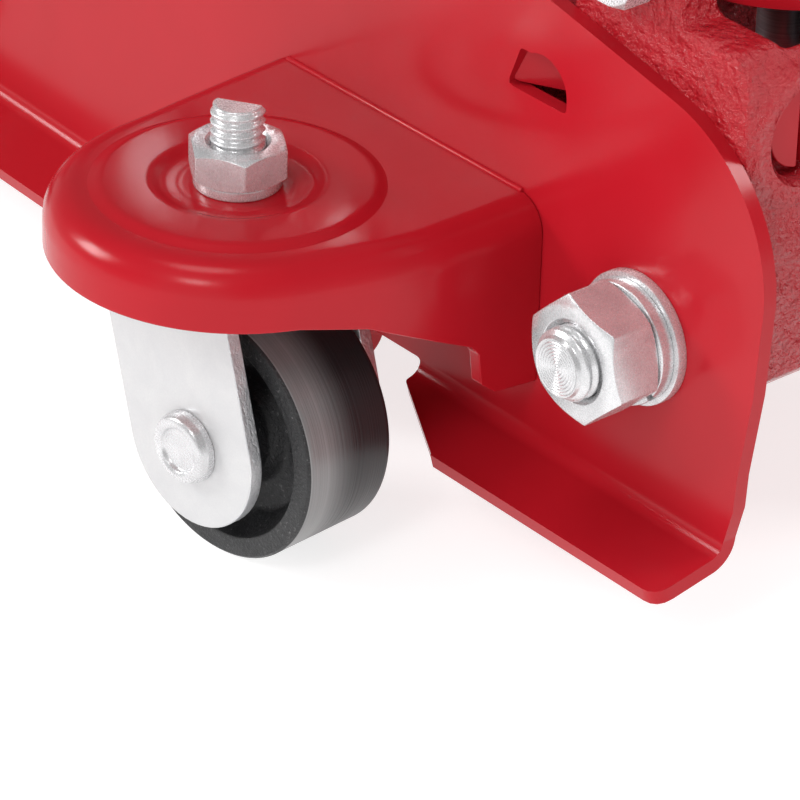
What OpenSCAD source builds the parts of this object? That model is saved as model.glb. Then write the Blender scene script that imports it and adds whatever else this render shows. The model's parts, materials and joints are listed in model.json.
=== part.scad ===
// Hydraulic trolley jack, millimetres. X forward, Y left, Z up.
// The origin is on the ground, midway along and across the jack.

/* [Frame] */
// length of the side plates, the longest pieces of the chassis
frame_len = 427; // [410:1:480]
// width over the two side plates
frame_w = 84; // [80:1:96]
// height of the side plates over the lift arm's pivot
frame_h = 126; // [122:1:138]
// thickness of the side plates
plate_t = 3; // [2.5:0.5:4]
// how far the bottom flange stands out
flange_w = 15; // [10:1:18]

/* [Casters] */
// distance of the caster stem from the side plate
stem_reach = 39.5; // [37:0.5:46]
// diameter of the caster wheel
wheel_d = 50; // [46:1:51]
// width of the caster wheel
wheel_w = 21; // [18:1:23]
// how far the wheel trails behind its stem
wheel_trail = 6; // [4:1:9]

/* [Lift] */
// distance between the arm's pivot and the saddle pin
arm_len = 219; // [205:1:219]
// height of the saddle when the jack is down
saddle_low = 130; // [128:1:136]
// diameter of the saddle
saddle_d = 68; // [60:1:72]
// diameter of the front rollers
roller_d = 60; // [54:1:64]
// width of a front roller
roller_w = 32; // [24:1:36]

/* [Handle] */
// length of the lower handle tube
lower_len = 360; // [300:10:420]
// length of the upper handle tube
upper_len = 320; // [260:10:380]
// outer diameter of the lower handle tube
handle_d = 30; // [28:0.5:31]

/* [Hidden] */
$fn = 64;

touch = 0.3;
fit = 0.05;
cut = 1;
ease = 0.3;

half_w = frame_w / 2;
inner = half_w - plate_t;
rear_x = -frame_len / 2;
front_x = frame_len / 2;

// bottom flange and the line where it bends
bend_z = 21.5;
flange_droop = 15;
flange_rear_x = rear_x + 7;
notch_half = 7.2;
notch_step = 3.7;
notch_reach = 27.6;
rise_x = rear_x + 110;
flange_rise = 2.5;
flange_front_x = rear_x + 330;

// outline of the side plate
top_slope = 11.7;
rear_r = 31.5;
crown_r = 26;
tail_top_z = 73.9;

// caster
stem_x = rear_x + 97.4;
stem_y = half_w + stem_reach;
stem_r = 5;
bracket_z = 71.3;
bracket_t = 3;
bracket_r = 35.7;
bracket_rim = 12;
bracket_back = 40;
bracket_bend_y = 27;
bracket_drop = 26;
pad_r = 13.5;
ring_r = 26.5;
ring_h = 1;
caster_turn = 4.6;
wheel_z = wheel_d / 2;
fork_t = 3;
fork_half = 17;
fork_top = 61;
leg_r = 16.4;
leg_lean = 15.4;
rivet_r = 4;
rivet_head_r = 7;
rivet_head_h = 3.5;
washer10_t = 2.1;
washer10_r = 8.2;
nut10_af = 17;
nut10_h = 6.6;
nut10_turn = 29;
stem_end = 87.5;
stem_flat = 0.5;
stem_flat_turn = 32;
stem_flat_len = 7;
race_r = 15;

// power unit and its studs
stud_x = rear_x + 30.9;
stud_z = 55.6;
stud_r = 7;
stud_washer_t = 2.2;
stud_washer_r = 12.8;
stud_spring_t = 3;
stud_spring_r = 11.8;
stud_nut_af = 22;
stud_nut_h = 10.9;
stud_nut_turn = 17;
stud_over = 3.8;
barrel_r = 17;
unit_rear_x = rear_x + 10;
unit_front_x = rear_x + 85;
ram_z = 67;
tank_r = 24;
tank_len = 38;
ram_r = 11;
plug_r = 7.5;
plug_y = inner - 15.4;
plug_z = 99.6;
spring_y = 26.5;
spring_coil_r = 3.6;

// handle socket and pump
hinge_x = rear_x + 41.4;
hinge_z = 128;
foot_r = 27;
foot_z = 117;
foot_t = 10;
trough_r = 30.5;
trough_half = 29;
socket_r = 19;
socket_top = 235;
roller_arm = [-24, -8];
pump_r = 6;
pump_head_r = 10;
pump_x = hinge_x - 19;
pump_gap = 1.3;
pump_roller_r = 5;
well_r = 11.5;
well_z = 84;
ball_r = 7;
handle_z = 140;
handle_bore_r = handle_d / 2 - 2.5;
upper_r = handle_bore_r - touch / 2;
upper_z = handle_z + lower_len - 60;
top_z = upper_z + upper_len;
grip_len = 120;
grip_r = upper_r + 4;

// lift arm, parallel rods and saddle
pivot_x = rear_x + 167;
pivot_z = frame_h - 18;
saddle_pin_z = saddle_low - 52.6;
arm_rest = asin((pivot_z - saddle_pin_z) / arm_len);
saddle_x = pivot_x + arm_len * cos(arm_rest);
arm_side_y = 24;
arm_side_t = 5;
arm_root_h = 19;
arm_nose_r = 15;
shaft_r = 10;
crank_r = 44;
crank_swing = 60;
crank_x = pivot_x - crank_r * sin(crank_swing / 2);
crank_z = pivot_z - crank_r * cos(crank_swing / 2);
pin_r = 7;
rod_dx = 14;
rod_dz = -26;
rod_y = 32;
rod_t = 5;
rod_half = 8;
rod_pin_r = 5;
hook_r = 58;
post_r = 9;
saddle_t = 14;
saddle_deck_z = saddle_low - saddle_t;

// cover between the power unit and the arm
cover_x0 = unit_front_x + 16;
cover_x1 = pivot_x - 26;
cover_z = 110;
cover_t = 2.5;
cover_skirt = 15;
cover_screw_x = [cover_x0 + 8, cover_x1 - 8];
cover_screw_z = cover_z - 8;

// front rollers
axle_x = saddle_x + 8;
axle_z = roller_d / 2;
axle_r = 8;
nose_r = 20;
roller_y = half_w + 1;
tie_z = 42;
tie_x = [pivot_x + 75, pivot_x + 140];

red = [0.70, 0.12, 0.15];
zinc = [0.80, 0.81, 0.82];
steel = [0.62, 0.63, 0.64];
black = [0.07, 0.07, 0.08];

// -------------------------------------------------- helpers

// points on a circle, from one angle to another
function arc(x, y, r, from, to, steps = 10) =
    [for (i = [0:steps]) let (a = from + (to - from) * i / steps) [x + r * cos(a), y + r * sin(a)]];

// a flat shape drawn in X and Z, given a thickness across the jack
module across(y, t) {
    translate([0, y + t, 0])
        rotate([90, 0, 0])
            linear_extrude(t)
                children();
}

// a round bar across the jack
module bar_y(x, z, y0, y1, r) {
    translate([x, y0, z])
        rotate([-90, 0, 0])
            cylinder(h = y1 - y0, r = r);
}

// a round bar along the jack
module bar_x(x0, x1, y, z, r) {
    translate([x0, y, z])
        rotate([0, 90, 0])
            cylinder(h = x1 - x0, r = r);
}

// a hexagon nut standing on a bar across the jack, outward on the left
module nut_y(x, z, y, af, h, bore, turn = 0) {
    translate([x, y, z])
        rotate([-90, -turn, 0])
            difference() {
                intersection() {
                    cylinder(h = h, r = af / 2 / cos(30), $fn = 6);
                    cylinder(h = h, r1 = af / 2 + h, r2 = af / 2 * 1.03);
                }
                translate([0, 0, -cut])
                    cylinder(h = h + 2 * cut, r = bore);
            }
}

// a ring across the jack
module ring_y(x, z, y0, y1, r, bore) {
    difference() {
        bar_y(x, z, y0, y1, r);
        bar_y(x, z, y0 - cut, y1 + cut, bore);
    }
}

// a flat bar between two points in X and Z, with round ends
module link_shape(a, b, ra, rb) {
    d = b - a;
    turn = atan2(d[1], d[0]);
    translate(a)
        circle(r = ra);
    translate(b)
        circle(r = rb);
    translate(a)
        rotate(turn)
            polygon([[0, ease - ra], [norm(d), ease - rb], [norm(d), rb - ease], [0, ra - ease]]);
}

module mirrored(side) {
    if (side > 0)
        children();
    else
        mirror([0, 1, 0])
            children();
}

module both_sides() {
    for (side = [1, -1])
        mirrored(side)
            children();
}

// -------------------------------------------------- frame

// the side plate seen from the left, from the bend line up
module plate_outline() {
    tail_x = rear_x + rear_r;
    shoulder = arc(tail_x, tail_top_z, rear_r, 180, 90 + top_slope);
    start = shoulder[len(shoulder) - 1];
    crest_x = start[0] + (frame_h - crown_r * (1 - cos(top_slope)) - start[1]) / tan(top_slope);
    crown = arc(crest_x + crown_r * sin(top_slope), frame_h - crown_r, crown_r, 90 + top_slope, 90, 4);
    brow_x = pivot_x + 25;
    brow = arc(brow_x, frame_h - crown_r, crown_r, 90, 68, 5);
    nose_low = arc(axle_x, axle_z, nose_r, 270, 215, 8);
    front_top = arc(front_x - 16, axle_z + 14, 16, 0, 80, 8);
    rise = tan(flange_rise) * (flange_front_x - rise_x);
    web_z = bend_z - plate_t / 3;
    polygon(concat(
        [[rear_x + 5.2, web_z]],
        shoulder,
        crown,
        brow,
        [[pivot_x + 130, frame_h - 46]],
        [for (i = [8:-1:0]) front_top[i]],
        arc(front_x - 14, axle_z - nose_r + 14, 14, 0, -90, 6),
        nose_low,
        [[flange_front_x, web_z + rise], [rise_x, web_z]]
    ));
}

// the bent-out flange, seen from behind
module flange_section() {
    run = flange_w * tan(flange_droop);
    polygon([
        [inner, bend_z],
        [half_w, bend_z],
        [half_w + flange_w, bend_z - run],
        [half_w + flange_w - plate_t * sin(flange_droop), bend_z - run - plate_t * cos(flange_droop)],
        [inner, bend_z - plate_t / cos(flange_droop) + plate_t * tan(flange_droop)]
    ]);
}

module flange_run(from, to) {
    translate([from, 0, 0])
        rotate([90, 0, 90])
            linear_extrude(to - from)
                flange_section();
}

// the flange is cut away where the caster wheel swings
module notch_cut(way) {
    deep = 2 * plate_t;
    far = 2 * flange_w;
    translate([stem_x, half_w, 0])
        linear_extrude(bend_z + deep)
            polygon([[way * notch_half, -deep], [way * notch_half, notch_step],
                [way * notch_reach, flange_w - 0.5], [way * notch_reach, far],
                [-way * far, far], [-way * far, -deep]]);
}

module side_plate(side) {
    mirrored(side)
        difference() {
            union() {
                across(inner, plate_t)
                    plate_outline();
                difference() {
                    flange_run(flange_rear_x, stem_x - notch_half);
                    notch_cut(-1);
                }
                translate([rise_x, 0, bend_z])
                    rotate([0, -flange_rise, 0])
                        translate([-rise_x, 0, -bend_z])
                            difference() {
                                flange_run(stem_x + notch_half, flange_front_x);
                                notch_cut(1);
                            }
            }
            bar_y(stud_x, stud_z, inner - cut, half_w + cut, stud_r);
            bar_y(pivot_x, pivot_z, inner - cut, half_w + cut, shaft_r);
            bar_y(axle_x, axle_z, inner - cut, half_w + cut, axle_r);
            for (x = tie_x)
                bar_y(x, tie_z, inner - cut, half_w + cut, 5);
            for (x = cover_screw_x)
                bar_y(x, cover_screw_z, inner - cut, half_w + cut, 3);
            across(inner - cut, plate_t + 2 * cut)
                pocket_shape();
        }
}

// a pocket with a flat side and a round side, punched inward
module pocket_shape() {
    translate([stem_x - 36.5, 92])
        intersection() {
            translate([0, -1])
                circle(r = 9);
            translate([-7.8, -1])
                square([15.6, 9]);
        }
}

function bracket_points(inset) = concat(
    [[inset - bracket_back, 0], [inset - bracket_back, bracket_bend_y]],
    arc(0, stem_reach, bracket_r - inset, 172, 0, 24),
    [[bracket_back - inset, 0]]
);

// the rear wall reaches further down towards the side plate
module bracket_underside() {
    low = bracket_z - bracket_rim;
    deep = low - bracket_drop - 1;
    far = stem_reach + bracket_r + cut;
    translate([5 - bracket_back, -cut, deep])
        cube([2 * bracket_r + 10, far + 2 * cut, low - deep]);
    translate([-bracket_back - cut, 0, 0])
        rotate([90, 0, 90])
            linear_extrude(10)
                polygon([[-cut, deep], [-cut, deep + 1], [10, deep + 3], [13, low - 15], [16, low - 13],
                    [stem_reach, low - 1.5], [stem_reach + 8, low], [far, low], [far, deep]]);
}

module caster_bracket(side) {
    low = bracket_z - bracket_rim;
    mirrored(side)
        translate([stem_x, half_w, 0])
            difference() {
                union() {
                    translate([0, 0, low - bracket_drop])
                        linear_extrude(bracket_rim + bracket_drop)
                            polygon(bracket_points(0));
                    translate([0, stem_reach, bracket_z])
                        rotate_extrude()
                            polygon([[pad_r, -cut], [pad_r, 0], [pad_r + 3, ring_h], [ring_r - 4, ring_h],
                                [ring_r, 0], [ring_r, -cut]]);
                }
                translate([0, -cut, low - bracket_drop - cut])
                    linear_extrude(bracket_rim + bracket_drop - bracket_t + cut)
                        polygon([for (p = bracket_points(bracket_t)) [p[0], p[1] > 0 ? p[1] + cut : 0]]);
                bracket_underside();
                translate([0, stem_reach, low])
                    cylinder(h = bracket_rim + cut, r = stem_r);
            }
}

// -------------------------------------------------- casters

module caster_stem(side) {
    mirrored(side)
        translate([stem_x, stem_y, 0])
            difference() {
                union() {
                    translate([0, 0, fork_top - fork_t - 4 - touch])
                        cylinder(h = 4, r = 9);
                    translate([0, 0, fork_top - fork_t - 2])
                        cylinder(h = stem_end - fork_top + fork_t + 2, r = stem_r);
                }
                rotate([0, 0, stem_flat_turn])
                    translate([-2 * stem_r, -2 * stem_r - stem_flat, stem_end - stem_flat_len])
                        cube([4 * stem_r, 2 * stem_r, stem_flat_len + cut]);
            }
}

module stem_nuts() {
    both_sides()
        translate([stem_x, stem_y, bracket_z + washer10_t])
            rotate([0, 0, nut10_turn])
                difference() {
                    cylinder(h = nut10_h, r = nut10_af / 2 / cos(30), $fn = 6);
                    translate([0, 0, -cut])
                        cylinder(h = nut10_h + 2 * cut, r = stem_r);
                }
}

module stem_spring_washers() {
    both_sides()
        translate([stem_x, stem_y, bracket_z])
            difference() {
                cylinder(h = washer10_t, r = washer10_r);
                translate([0, 0, -cut])
                    cylinder(h = washer10_t + 2 * cut, r = stem_r + fit);
                translate([4, -1, -cut])
                    cube([6, 1.5, washer10_t + 2 * cut]);
            }
}

// the upper cup holds the balls the fork swivels on
module ball_race(side) {
    roof = bracket_z - bracket_t;
    mirrored(side)
        translate([stem_x, stem_y, 0])
            difference() {
                union() {
                    translate([0, 0, fork_top + touch])
                        cylinder(h = roof - fork_top - touch, r = race_r);
                    translate([0, 0, roof - 3])
                        cylinder(h = 3, r = race_r + 3);
                }
                translate([0, 0, fork_top])
                    cylinder(h = 20, r = stem_r + fit);
            }
}

module leg_shape() {
    intersection() {
        union() {
            translate([-wheel_trail, wheel_z])
                circle(r = leg_r);
            translate([-wheel_trail, wheel_z])
                rotate(-leg_lean)
                    translate([ease - leg_r, 0])
                        square([2 * (leg_r - ease), 60]);
        }
        translate([-30, 0])
            square([60, fork_top]);
    }
}

// each caster stands turned a little about its stem
module caster_place(z) {
    translate([stem_x, stem_y, z])
        rotate([0, 0, caster_turn])
            children();
}

module fork(side) {
    mirrored(side)
        caster_place(0)
            difference() {
                union() {
                    for (y = [-fork_half, fork_half - fork_t])
                        across(y, fork_t)
                            leg_shape();
                    translate([0, 0, fork_top - fork_t])
                        intersection() {
                            cylinder(h = fork_t, r = 22);
                            translate([-13, -fork_half, -cut])
                                cube([34, 2 * fork_half, fork_t + 2 * cut]);
                        }
                }
                translate([0, 0, fork_top - fork_t - cut])
                    cylinder(h = fork_t + 2 * cut, r = stem_r + fit);
                bar_y(-wheel_trail, wheel_z, -fork_half - cut, fork_half + cut, rivet_r);
            }
}

module caster_wheel(side) {
    r = wheel_d / 2;
    w = wheel_w / 2;
    hub = fork_half - fork_t - 0.4;
    mirrored(side)
        caster_place(wheel_z)
            translate([-wheel_trail, 0, 0])
                rotate([90, 0, 0])
                    rotate_extrude()
                        polygon([
                            [rivet_r + fit, -hub], [9, -hub], [10, -w + 5], [r - 5.5, -w + 4], [r - 4, -w],
                            [r - 1, -w], [r, -w + 1], [r, w - 1], [r - 1, w], [r - 4, w], [r - 5.5, w - 4],
                            [10, w - 5], [9, hub], [rivet_r + fit, hub]
                        ]);
}

module axle_rivet(side) {
    mirrored(side)
        caster_place(wheel_z)
            translate([-wheel_trail, 0, 0])
                difference() {
                    union() {
                        bar_y(0, 0, -fork_half, fork_half, rivet_r);
                        bar_y(0, 0, fork_half, fork_half + rivet_head_h, rivet_head_r);
                        bar_y(0, 0, -fork_half - rivet_head_h, -fork_half, rivet_head_r);
                    }
                    bar_y(0, 0, fork_half + rivet_head_h - 1.2, fork_half + rivet_head_h + cut, 4.5);
                }
}

// -------------------------------------------------- power unit

module power_unit_studs() {
    reach = half_w + stud_washer_t + stud_spring_t + stud_nut_h + stud_over;
    both_sides()
        bar_y(stud_x, stud_z, inner - 18, reach, stud_r);
}

module stud_flat_washers() {
    both_sides()
        ring_y(stud_x, stud_z, half_w, half_w + stud_washer_t, stud_washer_r, stud_r + fit);
}

module stud_spring_washers() {
    y = half_w + stud_washer_t;
    both_sides()
        ring_y(stud_x, stud_z, y, y + stud_spring_t, stud_spring_r, stud_r + fit);
}

module stud_nuts() {
    both_sides()
        nut_y(stud_x, stud_z, half_w + stud_washer_t + stud_spring_t, stud_nut_af, stud_nut_h, stud_r,
            stud_nut_turn);
}

module unit_profile() {
    translate([stud_x, stud_z])
        circle(r = barrel_r);
    polygon([
        [stud_x - 12, 43.6], [unit_rear_x, 51], [unit_rear_x, 98], [unit_rear_x + 3, 107],
        [unit_rear_x + 10, 111], [hinge_x, 111], [hinge_x + 26, 104], [unit_front_x, 104],
        [unit_front_x, 41], [unit_front_x - 10, 36], [stud_x + 10, 38.6], [stud_x, 38.6]
    ]);
}

module power_unit_casting() {
    difference() {
        union() {
            across(-inner, 2 * inner)
                unit_profile();
            for (y = [-inner, trough_half])
                across(y, inner - trough_half)
                    link_shape([hinge_x, hinge_z], [hinge_x, 96], 11, 18);
            bar_x(unit_rear_x - 1, unit_rear_x + 12, plug_y, plug_z, plug_r + 6);
        }
        bar_y(hinge_x, hinge_z, -trough_half, trough_half, trough_r);
        bar_y(hinge_x, hinge_z, -inner - cut, inner + cut, 6);
        both_sides()
            bar_y(stud_x, stud_z, inner - 18, inner + cut, stud_r);
        translate([pump_x, 0, 50])
            cylinder(h = 80, r = pump_r + fit);
        translate([pump_x, 0, well_z])
            cylinder(h = 40, r = well_r);
        translate([hinge_x, 0, 66])
            cylinder(h = 60, r = 5 + fit);
        bar_x(unit_rear_x - 3, unit_rear_x + 6, plug_y, plug_z, plug_r + 1.5);
        bar_x(unit_rear_x + 4, unit_rear_x + 14, plug_y, plug_z, 5);
        bar_x(unit_front_x - 25, unit_front_x + cut, 0, ram_z, ram_r + fit);
        translate([unit_front_x - 9, 14, 90])
            cylinder(h = 40, r = 5);
    }
}

module valve_plug() {
    difference() {
        union() {
            bar_x(unit_rear_x, unit_rear_x + 6, plug_y, plug_z, plug_r);
            bar_x(unit_rear_x + 6, unit_rear_x + 14, plug_y, plug_z, 5);
        }
        translate([unit_rear_x - cut, plug_y - 0.9, plug_z - plug_r - cut])
            cube([2.2 + cut, 1.8, 2 * plug_r + 2 * cut]);
    }
}

module filler_plug() {
    translate([unit_front_x - 9, 14, 0]) {
        translate([0, 0, 92])
            cylinder(h = 14, r = 5);
        translate([0, 0, 104])
            cylinder(h = 5, r = 8);
    }
}

module reservoir_tube() {
    difference() {
        bar_x(unit_front_x, unit_front_x + tank_len, 0, ram_z, tank_r);
        bar_x(unit_front_x - cut, unit_front_x + tank_len + cut, 0, ram_z, ram_r + fit);
    }
}

module cylinder_end_nut() {
    x = unit_front_x + tank_len;
    difference() {
        translate([x, 0, ram_z])
            rotate([0, 90, 0])
                cylinder(h = 7, r = 20, $fn = 6);
        bar_x(x - cut, x + 8, 0, ram_z, ram_r + fit);
    }
}

module ram() {
    bar_x(unit_front_x - 10, crank_x - 12, 0, ram_z, ram_r);
}

// the cross pin rides up and down in the head's slot as the crank swings
module ram_head() {
    sag = crank_r * (1 - cos(crank_swing / 2)) / 2;
    slot_r = pin_r + 0.8;
    translate([crank_x, 0, 0])
        difference() {
            translate([-12, -12, ram_z - 15])
                cube([24, 24, 30]);
            across(-12 - cut, 24 + 2 * cut)
                union() {
                    translate([0, ram_z - sag])
                        circle(r = slot_r);
                    translate([0, ram_z + sag])
                        circle(r = slot_r);
                    translate([-slot_r, ram_z - sag])
                        square([2 * slot_r, 2 * sag]);
                }
        }
}

module release_valve() {
    translate([hinge_x, 0, 0]) {
        translate([0, 0, 66])
            cylinder(h = hinge_z - 66 - 4, r = 5);
        translate([0, 0, hinge_z])
            sphere(r = ball_r);
    }
}

// the cup on the handle's end turns the valve's ball at any pumping angle
module valve_cup() {
    translate([hinge_x, 0, hinge_z])
        difference() {
            translate([0, 0, 1])
                cylinder(h = handle_z - hinge_z - 1, r = 11);
            sphere(r = ball_r + 0.5);
        }
}

module pump_plunger() {
    head_z = hinge_z + roller_arm[1] - pump_roller_r - pump_gap;
    translate([pump_x, 0, 0]) {
        translate([0, 0, 68])
            cylinder(h = head_z - 68, r = pump_r);
        translate([0, 0, head_z - 4])
            cylinder(h = 4, r = pump_head_r);
    }
}

module plunger_spring() {
    head_z = hinge_z + roller_arm[1] - pump_roller_r - pump_gap;
    translate([pump_x, 0, well_z])
        difference() {
            cylinder(h = head_z - 4 - well_z, r = 9);
            translate([0, 0, -cut])
                cylinder(h = 60, r = 7.4);
        }
}

// -------------------------------------------------- handle

module handle_socket() {
    slot_half = 5;
    difference() {
        union() {
            translate([hinge_x, 0, foot_z])
                cylinder(h = foot_t, r = foot_r);
            translate([hinge_x, 0, foot_z])
                cylinder(h = socket_top - foot_z, r = socket_r);
            bar_y(hinge_x, hinge_z, -trough_half + touch, trough_half - touch, 11);
            for (y = [-slot_half - 4, slot_half])
                across(y, 4)
                    link_shape([hinge_x, hinge_z], [hinge_x, hinge_z] + roller_arm, 11, 5);
        }
        translate([hinge_x, 0, handle_z - touch])
            cylinder(h = socket_top, r = handle_d / 2 + 0.2);
        translate([hinge_x, 0, foot_z - cut])
            cylinder(h = 40, r = 12.5);
        translate([hinge_x - 40, -slot_half, foot_z - 6])
            cube([34, 2 * slot_half, 18]);
        both_sides()
            bar_y(hinge_x, hinge_z, 15, trough_half + cut, 6 + fit);
        bar_y(hinge_x + roller_arm[0], hinge_z + roller_arm[1], -10, 10, 2.5);
    }
}

module socket_bolts() {
    both_sides()
        union() {
            bar_y(hinge_x, hinge_z, 17, inner + 1, 6);
            bar_y(hinge_x, hinge_z, inner, inner + 6, 6);
            nut_y(hinge_x, hinge_z, inner, 18, 7, 5.9);
        }
}

module pump_roller() {
    ring_y(hinge_x + roller_arm[0], hinge_z + roller_arm[1], -4.6, 4.6, pump_roller_r, 2.5 + fit);
}

module roller_pin() {
    bar_y(hinge_x + roller_arm[0], hinge_z + roller_arm[1], -9, 9, 2.5);
}

module handle_lower() {
    difference() {
        translate([hinge_x, 0, handle_z])
            cylinder(h = lower_len, r = handle_d / 2);
        translate([hinge_x, 0, handle_z + 4])
            cylinder(h = lower_len, r = handle_bore_r);
        bar_x(hinge_x - handle_d, hinge_x, 0, upper_z + 30, 4);
    }
}

module handle_upper() {
    difference() {
        translate([hinge_x, 0, upper_z])
            cylinder(h = upper_len, r = upper_r);
        translate([hinge_x, 0, upper_z - cut])
            cylinder(h = upper_len + 2 * cut, r = upper_r - 2);
        bar_x(hinge_x - handle_d, hinge_x, 0, upper_z + 30, 4);
    }
}

module snap_button() {
    bar_x(hinge_x - handle_d / 2 - 2, hinge_x - upper_r + 5, 0, upper_z + 30, 3.8);
}

module grip() {
    difference() {
        translate([hinge_x, 0, top_z - grip_len])
            cylinder(h = grip_len + 4, r = grip_r);
        translate([hinge_x, 0, top_z - grip_len - cut])
            cylinder(h = grip_len + cut, r = upper_r);
    }
}

// -------------------------------------------------- lift arm

module arm_side() {
    nose = [saddle_x, saddle_pin_z];
    root = [pivot_x, pivot_z];
    difference() {
        union() {
            link_shape(root, nose, arm_root_h, arm_nose_r);
            link_shape(root, [crank_x, crank_z], arm_root_h, 12);
            link_shape([crank_x, crank_z], hook_point(), 12, 5);
        }
        translate(root)
            circle(r = shaft_r + fit);
        translate(nose)
            circle(r = pin_r);
        translate([crank_x, crank_z])
            circle(r = pin_r);
    }
}

function hook_point() = [pivot_x - hook_r * sin(crank_swing / 2), pivot_z - hook_r * cos(crank_swing / 2)];

module lift_arm() {
    difference() {
        union() {
            both_sides()
                across(arm_side_y, arm_side_t)
                    arm_side();
            translate([pivot_x, 0, pivot_z])
                rotate([0, arm_rest, 0])
                    translate([16, -arm_side_y - 1, 8])
                        cube([arm_len - 62, 2 * arm_side_y + 2, 4]);
            bar_y(pivot_x, pivot_z, -arm_side_y, arm_side_y, 15);
        }
        bar_y(pivot_x, pivot_z, -40, 40, shaft_r + fit);
    }
}

module arm_shaft() {
    bar_y(pivot_x, pivot_z, -half_w - 6, half_w + 6, shaft_r);
}

module shaft_clips() {
    both_sides()
        ring_y(pivot_x, pivot_z, half_w, half_w + 2, shaft_r + 4, shaft_r);
}

module cross_pin() {
    bar_y(crank_x, crank_z, -arm_side_y - arm_side_t - 1.5, arm_side_y + arm_side_t + 1.5, pin_r);
}

module saddle_pin() {
    reach = arm_side_y + arm_side_t + 1.5;
    bar_y(saddle_x, saddle_pin_z, -reach, reach, pin_r);
}

module bracket_cheek() {
    pin = [saddle_x, saddle_pin_z];
    difference() {
        union() {
            link_shape(pin, pin + [rod_dx, rod_dz], 14, 9);
            link_shape(pin, pin + [0, 24], 14, 14);
        }
        translate(pin)
            circle(r = pin_r + fit);
        translate(pin + [rod_dx, rod_dz])
            circle(r = rod_pin_r);
        translate(pin + [-30, saddle_deck_z - saddle_pin_z - 6])
            square([60, 40]);
    }
}

module saddle_bracket() {
    cheek = 5;
    outer = arm_side_y - touch - 0.2;
    deck = saddle_deck_z - 6;
    difference() {
        union() {
            both_sides()
                across(outer - cheek, cheek)
                    bracket_cheek();
            translate([saddle_x, 0, deck - 8])
                cylinder(h = 14 - touch, r = 20);
            translate([saddle_x - 12, -outer + 1, deck - 8])
                cube([24, 2 * outer - 2, 7]);
        }
        translate([saddle_x, 0, deck - 20])
            cylinder(h = 40, r = post_r + fit);
    }
}

module saddle() {
    difference() {
        union() {
            translate([saddle_x, 0, saddle_deck_z])
                cylinder(h = saddle_t - 5, r = saddle_d / 2);
            translate([saddle_x, 0, saddle_deck_z - 26])
                cylinder(h = 28, r = post_r);
            for (a = [45:90:315])
                translate([saddle_x, 0, saddle_deck_z + saddle_t - 6])
                    rotate([0, 0, a])
                        translate([saddle_d / 2 - 12, -8, 0])
                            intersection() {
                                cube([12, 16, 6]);
                                translate([12 - saddle_d / 2, 8, 0])
                                    cylinder(h = 6, r = saddle_d / 2);
                            }
        }
        translate([saddle_x, 0, saddle_deck_z + 5])
            cylinder(h = 10, r = saddle_d / 2 - 14);
        translate([saddle_x, 0, saddle_deck_z - 22])
            rotate_extrude()
                translate([post_r - 1.5, 0])
                    square([4, 2]);
    }
}

module saddle_clip() {
    translate([saddle_x, 0, saddle_deck_z - 22])
        difference() {
            cylinder(h = 2, r = post_r + 3);
            translate([0, 0, -cut])
                cylinder(h = 4, r = post_r - 1.5);
        }
}

function rod_rear() = [pivot_x + rod_dx, pivot_z + rod_dz];
function rod_front() = [saddle_x + rod_dx, saddle_pin_z + rod_dz];

module rod(side) {
    mirrored(side)
        across(rod_y, rod_t)
            difference() {
                link_shape(rod_rear(), rod_front(), rod_half, rod_half);
                translate(rod_rear())
                    circle(r = rod_pin_r + fit);
                translate(rod_front())
                    circle(r = rod_pin_r + 1);
            }
}

module rod_rear_pins() {
    both_sides()
        bar_y(rod_rear()[0], rod_rear()[1], rod_y - 1.5, inner, rod_pin_r);
}

module rod_front_pin() {
    reach = rod_y + rod_t + 1;
    bar_y(rod_front()[0], rod_front()[1], -reach, reach, rod_pin_r);
}

module return_springs() {
    both_sides()
        difference() {
            bar_x(unit_front_x, hook_point()[0] - 5 - touch, spring_y, hook_point()[1], spring_coil_r);
            bar_x(unit_front_x - cut, hook_point()[0], spring_y, hook_point()[1], spring_coil_r - 1.2);
        }
}

// -------------------------------------------------- front end and fasteners

module front_axle() {
    reach = roller_y + roller_w + 14;
    bar_y(axle_x, axle_z, -reach, reach, axle_r);
}

module front_roller(side) {
    r = roller_d / 2;
    mirrored(side)
        translate([axle_x, roller_y, axle_z])
            rotate([-90, 0, 0])
                rotate_extrude()
                    polygon([
                        [axle_r + fit, 0], [14, 0], [15, 3], [r - 6, 3], [r - 5, 0], [r - 1, 0], [r, 1],
                        [r, roller_w - 1], [r - 1, roller_w], [r - 5, roller_w], [r - 6, roller_w - 6],
                        [15, roller_w - 6], [14, roller_w], [axle_r + fit, roller_w]
                    ]);
}

module axle_nuts() {
    both_sides()
        nut_y(axle_x, axle_z, roller_y + roller_w + touch, 24, 10, axle_r);
}

module tie_rods() {
    for (x = tie_x)
        union() {
            bar_y(x, tie_z, -inner, inner, 8);
            bar_y(x, tie_z, -half_w - 9, half_w + 9, 5);
        }
}

module tie_rod_nuts() {
    for (x = tie_x)
        both_sides()
            nut_y(x, tie_z, half_w, 17, 7, 5);
}

module cover_plate() {
    difference() {
        union() {
            translate([cover_x0, -inner, cover_z])
                cube([cover_x1 - cover_x0, 2 * inner, cover_t]);
            for (y = [-inner, inner - cover_t])
                translate([cover_x0, y, cover_z - cover_skirt])
                    cube([cover_x1 - cover_x0, cover_t, cover_skirt + cut]);
        }
        for (x = cover_screw_x)
            bar_y(x, cover_screw_z, -half_w, half_w, 3);
    }
}

module cover_screws() {
    for (x = cover_screw_x)
        both_sides() {
            bar_y(x, cover_screw_z, inner - 4, half_w + 1, 3);
            bar_y(x, cover_screw_z, half_w, half_w + 3, 5);
        }
}

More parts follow.
